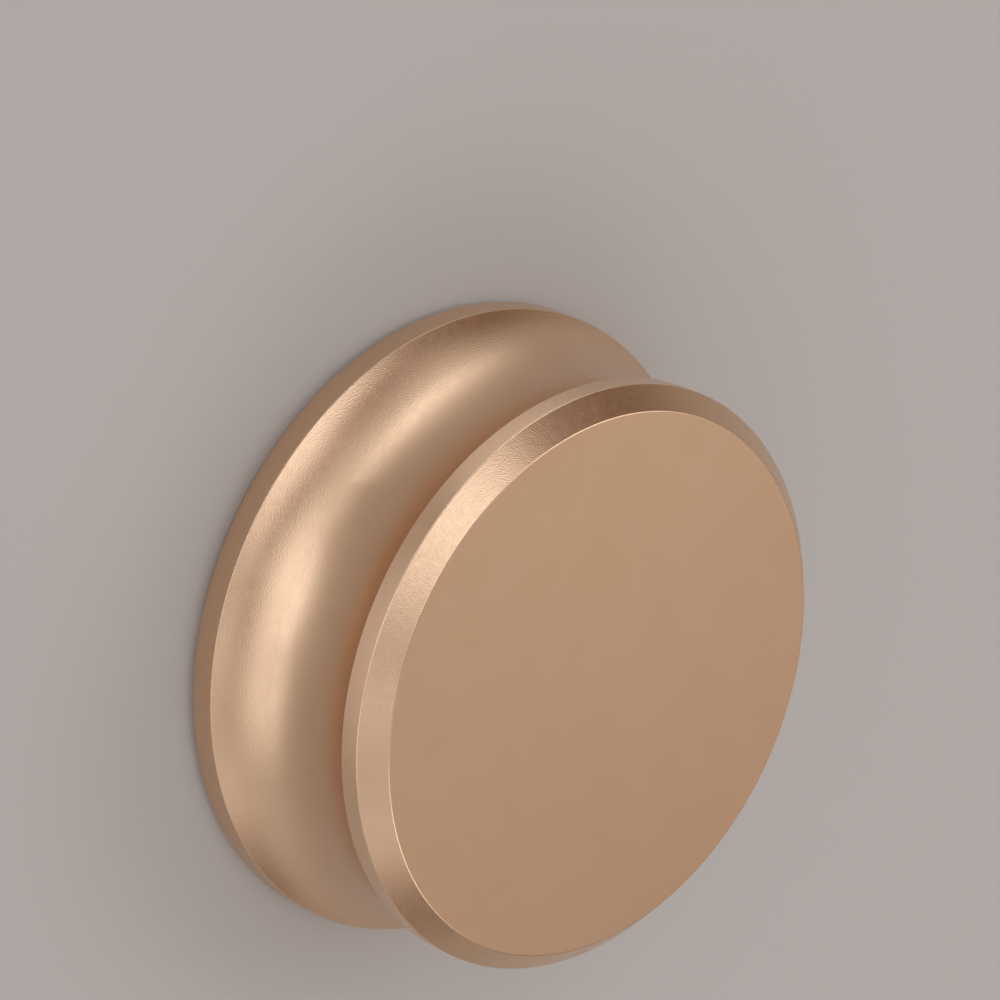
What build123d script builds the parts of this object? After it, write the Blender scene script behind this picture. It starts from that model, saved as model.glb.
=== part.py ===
# Record weight clamp: a solid aluminium puck turned in one piece, set over a turntable spindle.
# Millimetres, +Z up. The origin is the centre of the underside, on the spindle axis.

import os
from math import radians, tan

from build123d import *

# Outside of the puck, from the underside up
base_diameter = 76.0
top_diameter = 70.0
base_chamfer = 1.0
base_rim_height = 3.0
groove_height = 19.0
groove_depth = 3.5
top_rim_height = 2.5
top_chamfer = 2.5
edge_break = 0.2

# Spindle bore in the underside
bore_diameter = 7.5
bore_lead_in = 0.8
bore_roof = 8.0
drill_point_angle = 118.0

# Levels and radii that follow from the sizes above
base_radius = base_diameter / 2
top_radius = top_diameter / 2
bore_radius = bore_diameter / 2
base_rim_level = base_chamfer + base_rim_height
groove_level = base_rim_level + groove_height
top_rim_level = groove_level + top_rim_height
total_height = top_rim_level + top_chamfer
bore_level = total_height - bore_roof
drill_point_level = bore_level + bore_radius / tan(radians(drill_point_angle / 2))

# Corners of the turned profile, as radius and level
underside_edge = (base_radius - base_chamfer, 0)
base_rim_bottom = (base_radius, base_chamfer)
base_rim_top = (base_radius, base_rim_level)
top_rim_bottom = (top_radius, groove_level)
top_rim_top = (top_radius, top_rim_level)
face_edge = (top_radius - top_chamfer, total_height)

with BuildPart() as weight_body:
    # Turned body with a concave finger groove between its two rims
    with BuildSketch(Plane.XZ) as profile:
        with BuildLine():
            Polyline((0, 0), underside_edge, base_rim_bottom, base_rim_top)
            SagittaArc(base_rim_top, top_rim_bottom, groove_depth)
            Polyline(top_rim_bottom, top_rim_top, face_edge, (0, total_height), (0, 0))
        make_face()
        corners = profile.vertices()
        broken_edges = (base_rim_top, top_rim_top, face_edge)
        fillet([corners.sort_by_distance(edge)[0] for edge in broken_edges], radius=edge_break)
    revolve(axis=Axis.Z)

    # Blind spindle bore with a lead-in at its mouth and a drill point at its end
    with BuildSketch(Plane.XZ):
        with BuildLine():
            Polyline(
                (0, 0),
                (bore_radius + bore_lead_in, 0),
                (bore_radius, bore_lead_in),
                (bore_radius, bore_level),
                (0, drill_point_level),
                (0, 0),
            )
        make_face()
    revolve(axis=Axis.Z, mode=Mode.SUBTRACT)

os.makedirs("parts", exist_ok=True)
export_step(weight_body.part, "parts/weight_body.step")
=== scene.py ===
# Record weight clamp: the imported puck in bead-blasted gold anodising, on a pale studio floor.
# Metres, in the part's own frame: the origin is the centre of the underside, +Z up the spindle axis.

import math

import bpy
from mathutils import Euler, Matrix, Vector


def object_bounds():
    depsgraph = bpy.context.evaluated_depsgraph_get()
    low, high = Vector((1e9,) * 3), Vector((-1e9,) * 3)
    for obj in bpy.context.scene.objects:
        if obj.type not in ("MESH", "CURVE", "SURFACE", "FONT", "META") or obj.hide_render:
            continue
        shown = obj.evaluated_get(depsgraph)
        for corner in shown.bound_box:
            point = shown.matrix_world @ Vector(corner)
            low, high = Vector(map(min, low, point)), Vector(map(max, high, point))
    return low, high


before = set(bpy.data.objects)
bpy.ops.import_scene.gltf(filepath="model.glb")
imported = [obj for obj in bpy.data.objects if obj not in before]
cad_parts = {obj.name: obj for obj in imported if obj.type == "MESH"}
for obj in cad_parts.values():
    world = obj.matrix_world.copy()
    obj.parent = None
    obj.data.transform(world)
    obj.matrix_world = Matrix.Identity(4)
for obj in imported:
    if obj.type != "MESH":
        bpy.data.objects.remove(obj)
cad_low, cad_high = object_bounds()

MILLIMETRE = 0.001

# Turned sizes of the puck: the base radius and the height are the frame's
BASE_RADIUS = cad_high.x
HEIGHT = cad_high.z
TOP_RADIUS = BASE_RADIUS - 3.0 * MILLIMETRE
CHAMFER = 2.5 * MILLIMETRE
BASE_RIM_HEIGHT = 4.0 * MILLIMETRE

# Exposed turned edges of the puck, as radius and height: face rim, chamfer foot, base rim. They are painted
# paler, partly as wear and partly as a painted highlight line
WORN_AND_HIGHLIT_EDGES = (
    (TOP_RADIUS - CHAMFER, HEIGHT),
    (TOP_RADIUS, HEIGHT - CHAMFER),
    (BASE_RADIUS, BASE_RIM_HEIGHT),
)

# Finish of the puck: a slightly uneven dye, paler edges that are partly scuffs and partly a painted
# highlight line, patches of gloss, and blasted pits
DYE_DARK = (0.772, 0.532, 0.352)
DYE_LIGHT = (0.788, 0.548, 0.368)
DYE_PATCH_SIZE = 6.0 * MILLIMETRE
# Paler colour of the edges, partly wear and partly a painted highlight line
WORN_AND_HIGHLIT_EDGE_COLOUR = (0.87, 0.68, 0.50)
WEAR_AND_HIGHLIGHT_REACH = 0.35 * MILLIMETRE
WEAR_AND_HIGHLIGHT_SHARE = (0.03, 0.15)
SCUFF_AND_HIGHLIGHT_SIZE = 1.2 * MILLIMETRE
ROUGHNESS = (0.22, 0.27)
GLOSS_PATCH_SIZE = 0.9 * MILLIMETRE
PIT_SIZE = 0.15 * MILLIMETRE
PIT_DEPTH = 0.016 * MILLIMETRE

# Where most values of a noise lie, and a narrower stretch that gives its patches harder edges
NOISE_SPREAD = (0.3, 0.7)
NARROW_SPREAD = (0.35, 0.65)

# The floor is a round sheet, a hair below the puck's underside
FLOOR_COLOUR = (0.58, 0.57, 0.56)
FLOOR_ROUGHNESS = 0.9
FLOOR_RADIUS = 1.05
FLOOR_CORNERS = 96
FLOOR_DROP = 0.05 * MILLIMETRE

# The camera stands in front of the puck, looks down on it and is rolled, so the puck seems to stand on edge
CAMERA_POSITION = (-0.01495, -0.42171, 0.39340)
CAMERA_TILT = math.radians(42.867)
CAMERA_ROLL = math.radians(112.805)
CAMERA_LENS = 176.75
CAMERA_SENSOR = 36.0
CAMERA_NEAR = 0.01

# Name, azimuth and elevation in degrees, distance, width and height, brightness of each light hung in front
FRONT_LIGHTS = (
    ("key", 236, 45, 1.0, (1.1, 0.9), 1.55),
    ("key_side", 205, 44, 1.0, (0.7, 0.7), 1.2),
    ("front", 268, 46, 1.0, (0.6, 0.7), 0.75),
    ("front_fill", 310, 44, 1.0, (1.5, 0.8), 0.8),
    ("right_fill", 354, 29, 1.0, (1.1, 1.0), 0.55),
    ("low_left", 195, 9, 1.0, (1.2, 1.1), 0.4),
    ("low_front_left", 235, 9, 1.0, (1.4, 1.1), 0.5),
    ("low_front", 275, 9, 1.0, (1.4, 1.1), 1.2),
    ("low_front_right", 315, 9, 1.0, (1.4, 1.1), 0.85),
    ("low_right", 355, 9, 1.0, (1.4, 1.1), 0.25),
)

# The same for the lights hung behind and above
BACK_LIGHTS = (
    ("back", 104, 46, 0.4, (0.8, 0.6), 0.47),
    ("back_right", 32, 52, 1.0, (1.3, 1.2), 1.7),
    ("back_left", 148, 52, 1.0, (1.3, 1.2), 1.7),
    ("top", 0, 90, 1.0, (0.9, 0.9), 0.45),
)

# Name, azimuth, distance of the near edge, width and depth, brightness of each light laid on the floor
FLOOR_LIGHTS = (
    ("floor_front", 286, 0.044, (0.34, 0.17), 2.1),
    ("floor_side", 214, 0.042, (0.2, 0.15), 2.1),
    ("floor_right", 340, 0.042, (0.24, 0.15), 0.25),
)
FLOOR_LIGHT_LIFT = 1.0 * MILLIMETRE

# The lights in front and on the floor are a little cooler than the ones behind
FRONT_COLOUR = (0.95, 1.0, 1.06)
BACK_COLOUR = (1.0, 1.0, 1.0)

# A light's own coordinates run from 0 to 1 along both of its sides
LIGHT_MIDDLE = (0.5, 0.5, 0.0)
LIGHT_EDGE = 0.5

# Light of the room itself, at the floor's horizon and overhead, and the heights of view between them
ROOM_HORIZON = (0.42, 0.385, 0.355)
ROOM_OVERHEAD = (0.165, 0.1, 0.065)
ROOM_RISE = (0.05, 0.25)

# The two ways that a value is carried to a share
RISING = (0.0, 1.0)
FALLING = (1.0, 0.0)

# The parts of a vector that lie across the spindle axis and along it
ACROSS_AXIS = (1.0, 1.0, 0.0)
ALONG_AXIS = (0.0, 0.0, 1.0)

# Vector steps whose result is a number, and the places of a Mix node's colours among its sockets
NUMBER_STEPS = ("LENGTH", "DISTANCE", "DOT_PRODUCT")
MIX_COLOURS = (6, 7)
MIX_RESULT = 2


def new_material(name):
    """A node material with nothing in it but one shader and its output."""
    material = bpy.data.materials.new(name)
    material.use_nodes = True
    tree = material.node_tree
    tree.nodes.clear()
    shader = tree.nodes.new("ShaderNodeBsdfPrincipled")
    output = tree.nodes.new("ShaderNodeOutputMaterial")
    tree.links.new(shader.outputs["BSDF"], output.inputs["Surface"])
    return material, tree, shader


def add_noise(tree, coordinates, grain_size, detail):
    """Smooth noise whose grains are about the given size in metres."""
    noise = tree.nodes.new("ShaderNodeTexNoise")
    noise.inputs["Scale"].default_value = 1.0 / grain_size
    noise.inputs["Detail"].default_value = detail
    tree.links.new(coordinates, noise.inputs["Vector"])
    return noise.outputs["Fac"]


def add_range(tree, value, from_range, to_range, shape="LINEAR"):
    """A value carried from one range to another, and held at its ends."""
    ramp = tree.nodes.new("ShaderNodeMapRange")
    ramp.interpolation_type = shape
    ramp.inputs["From Min"].default_value, ramp.inputs["From Max"].default_value = from_range
    ramp.inputs["To Min"].default_value, ramp.inputs["To Max"].default_value = to_range
    tree.links.new(value, ramp.inputs["Value"])
    return ramp.outputs["Result"]


def add_math(tree, operation, first, second):
    """One step of maths on two linked numbers."""
    node = tree.nodes.new("ShaderNodeMath")
    node.operation = operation
    tree.links.new(first, node.inputs[0])
    tree.links.new(second, node.inputs[1])
    return node.outputs["Value"]


def add_vector_math(tree, operation, first, second=None):
    """One step of maths on a linked vector. The second one is a plain vector, an output or left out."""
    node = tree.nodes.new("ShaderNodeVectorMath")
    node.operation = operation
    tree.links.new(first, node.inputs[0])
    if isinstance(second, tuple):
        node.inputs[1].default_value = second
    elif second is not None:
        tree.links.new(second, node.inputs[1])
    return node.outputs["Value" if operation in NUMBER_STEPS else "Vector"]


def add_blend(tree, share, first, second):
    """Two colours mixed by a linked share. Each is a plain colour or an output."""
    blend = tree.nodes.new("ShaderNodeMix")
    blend.data_type = "RGBA"
    tree.links.new(share, blend.inputs["Factor"])
    for place, colour in zip(MIX_COLOURS, (first, second)):
        if isinstance(colour, tuple):
            blend.inputs[place].default_value = (*colour, 1.0)
        else:
            tree.links.new(colour, blend.inputs[place])
    return blend.outputs[MIX_RESULT]


def add_height(tree, vector):
    """The Z of a linked vector."""
    split = tree.nodes.new("ShaderNodeSeparateXYZ")
    tree.links.new(vector, split.inputs["Vector"])
    return split.outputs["Z"]


def edge_wear_and_highlight(tree, coordinates):
    """One on the exposed turned edges, falling to nothing within the reach of the paler band, which is
    partly wear and partly a painted highlight line.
    """
    outward = add_vector_math(tree, "MULTIPLY", coordinates, ACROSS_AXIS)
    section = tree.nodes.new("ShaderNodeCombineXYZ")
    tree.links.new(add_vector_math(tree, "LENGTH", outward), section.inputs["X"])
    tree.links.new(add_height(tree, coordinates), section.inputs["Z"])
    nearest = None
    for radius, height in WORN_AND_HIGHLIT_EDGES:
        distance = add_vector_math(tree, "DISTANCE", section.outputs["Vector"], (radius, 0.0, height))
        nearest = distance if nearest is None else add_math(tree, "MINIMUM", nearest, distance)
    return add_range(tree, nearest, (0.0, WEAR_AND_HIGHLIGHT_REACH), FALLING)


def turned_normal(tree, texture):
    """The mesh's normal without its small errors round the axis, which would show the seam."""
    normal = texture.outputs["Normal"]
    across = add_vector_math(tree, "MULTIPLY", texture.outputs["Object"], ACROSS_AXIS)
    outward = add_vector_math(tree, "NORMALIZE", across)
    reach = add_vector_math(tree, "DOT_PRODUCT", normal, outward)
    sideways = add_vector_math(tree, "MULTIPLY", outward, reach)
    upright = add_vector_math(tree, "MULTIPLY", normal, ALONG_AXIS)
    turn = tree.nodes.new("ShaderNodeVectorTransform")
    turn.vector_type = "NORMAL"
    turn.convert_from, turn.convert_to = "OBJECT", "WORLD"
    tree.links.new(add_vector_math(tree, "ADD", sideways, upright), turn.inputs["Vector"])
    return turn.outputs["Vector"]


def anodised_aluminium():
    """Gold anodised aluminium with a blasted grain, a slightly uneven dye, and paler edges that are partly
    wear and partly a painted highlight line.
    """
    material, tree, shader = new_material("gold_anodised_aluminium")
    texture = tree.nodes.new("ShaderNodeTexCoord")
    coordinates = texture.outputs["Object"]
    shader.inputs["Metallic"].default_value = 1.0

    dye = add_noise(tree, coordinates, DYE_PATCH_SIZE, detail=3.0)
    dyed = add_blend(tree, add_range(tree, dye, NOISE_SPREAD, RISING), DYE_DARK, DYE_LIGHT)
    # Paler edges: partly scuffed wear, partly a painted highlight line along the edge fillets, broken up by
    # noise
    scuff_and_highlight_noise = add_noise(tree, coordinates, SCUFF_AND_HIGHLIGHT_SIZE, detail=4.0)
    scuff_and_highlight_share = add_range(tree, scuff_and_highlight_noise, NARROW_SPREAD, WEAR_AND_HIGHLIGHT_SHARE)
    worn_and_highlit = add_math(tree, "MULTIPLY", edge_wear_and_highlight(tree, coordinates), scuff_and_highlight_share)
    tree.links.new(add_blend(tree, worn_and_highlit, dyed, WORN_AND_HIGHLIT_EDGE_COLOUR), shader.inputs["Base Color"])

    patches = add_noise(tree, coordinates, GLOSS_PATCH_SIZE, detail=2.0)
    tree.links.new(add_range(tree, patches, NOISE_SPREAD, ROUGHNESS), shader.inputs["Roughness"])

    pits = add_noise(tree, coordinates, PIT_SIZE, detail=0.0)
    bump = tree.nodes.new("ShaderNodeBump")
    bump.inputs["Strength"].default_value = 1.0
    bump.inputs["Distance"].default_value = PIT_DEPTH
    tree.links.new(pits, bump.inputs["Height"])
    tree.links.new(turned_normal(tree, texture), bump.inputs["Normal"])
    tree.links.new(bump.outputs["Normal"], shader.inputs["Normal"])
    return material


def pale_floor():
    """A matt pale sheet."""
    material, _, shader = new_material("pale_floor")
    shader.inputs["Base Color"].default_value = (*FLOOR_COLOUR, 1.0)
    shader.inputs["Roughness"].default_value = FLOOR_ROUGHNESS
    shader.inputs["Specular IOR Level"].default_value = 0.0
    return material


def bearing(azimuth, elevation):
    """The unit vector that points away from the puck at these angles in degrees."""
    turn, rise = math.radians(azimuth), math.radians(elevation)
    return Vector((math.cos(turn) * math.cos(rise), math.sin(turn) * math.cos(rise), math.sin(rise)))


def add_floor():
    """One large round sheet under the puck."""
    mesh = bpy.data.meshes.new("floor")
    corners = [bearing(360 * corner / FLOOR_CORNERS, 0) * FLOOR_RADIUS for corner in range(FLOOR_CORNERS)]
    mesh.from_pydata(corners, [], [tuple(range(FLOOR_CORNERS))])
    floor = bpy.data.objects.new("floor", mesh)
    floor.location.z = -FLOOR_DROP
    floor.data.materials.append(pale_floor())
    bpy.context.scene.collection.objects.link(floor)


def add_soft_light(name, size, brightness, colour, place, turn):
    """A flat light that fades to its edges. Brightness is what a mirror shows of its middle."""
    lamp = bpy.data.lights.new(name, "AREA")
    lamp.shape = "RECTANGLE"
    lamp.size, lamp.size_y = size
    lamp.energy = brightness * math.pi * size[0] * size[1]
    lamp.color = colour
    lamp.use_nodes = True
    tree = lamp.node_tree
    geometry = tree.nodes.new("ShaderNodeNewGeometry")
    off_middle = add_vector_math(tree, "DISTANCE", geometry.outputs["Parametric"], LIGHT_MIDDLE)
    fade = add_range(tree, off_middle, (0.0, LIGHT_EDGE), FALLING, "SMOOTHSTEP")
    tree.links.new(fade, tree.nodes["Emission"].inputs["Strength"])
    light = bpy.data.objects.new(name, lamp)
    light.location = place
    light.rotation_mode = "QUATERNION"
    light.rotation_quaternion = turn
    light.visible_camera = False
    bpy.context.scene.collection.objects.link(light)


def add_softbox(colour, name, azimuth, elevation, distance, size, brightness):
    """A light hung around the puck and aimed at its middle."""
    away = bearing(azimuth, elevation)
    place = (cad_low + cad_high) / 2 + away * distance
    add_soft_light(name, size, brightness, colour, place, away.to_track_quat("Z", "Y"))


def add_floor_light(colour, name, azimuth, near, size, brightness):
    """A light laid on the floor beside the puck, facing up."""
    place = bearing(azimuth, 0) * (near + size[1] / 2) + Vector((0, 0, FLOOR_LIGHT_LIFT))
    turn = Euler((math.pi, 0, math.radians(azimuth) + math.pi / 2)).to_quaternion()
    add_soft_light(name, size, brightness, colour, place, turn)


def add_camera():
    """The photograph's camera."""
    camera = bpy.data.objects.new("camera", bpy.data.cameras.new("camera"))
    camera.data.lens = CAMERA_LENS
    camera.data.sensor_width = CAMERA_SENSOR
    camera.data.clip_start = CAMERA_NEAR
    place = Matrix.Translation(CAMERA_POSITION)
    tilt = Matrix.Rotation(math.pi / 2 - CAMERA_TILT, 4, "X")
    roll = Matrix.Rotation(CAMERA_ROLL, 4, "Z")
    camera.matrix_world = place @ tilt @ roll
    bpy.context.scene.collection.objects.link(camera)
    bpy.context.scene.camera = camera


def set_world():
    """A dim warm room, paler where it meets the floor."""
    world = bpy.data.worlds.new("room")
    world.use_nodes = True
    tree = world.node_tree
    direction = tree.nodes.new("ShaderNodeTexCoord").outputs["Generated"]
    height = add_range(tree, add_height(tree, direction), ROOM_RISE, RISING)
    room = add_blend(tree, height, ROOM_HORIZON, ROOM_OVERHEAD)
    tree.links.new(room, tree.nodes["Background"].inputs["Color"])
    bpy.context.scene.world = world


bpy.context.scene.view_settings.view_transform = "Standard"
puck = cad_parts["weight_body"]
puck.data.materials.clear()
puck.data.materials.append(anodised_aluminium())
add_floor()
for softbox in FRONT_LIGHTS:
    add_softbox(FRONT_COLOUR, *softbox)
for softbox in BACK_LIGHTS:
    add_softbox(BACK_COLOUR, *softbox)
for floor_light in FLOOR_LIGHTS:
    add_floor_light(FRONT_COLOUR, *floor_light)
set_world()
add_camera()
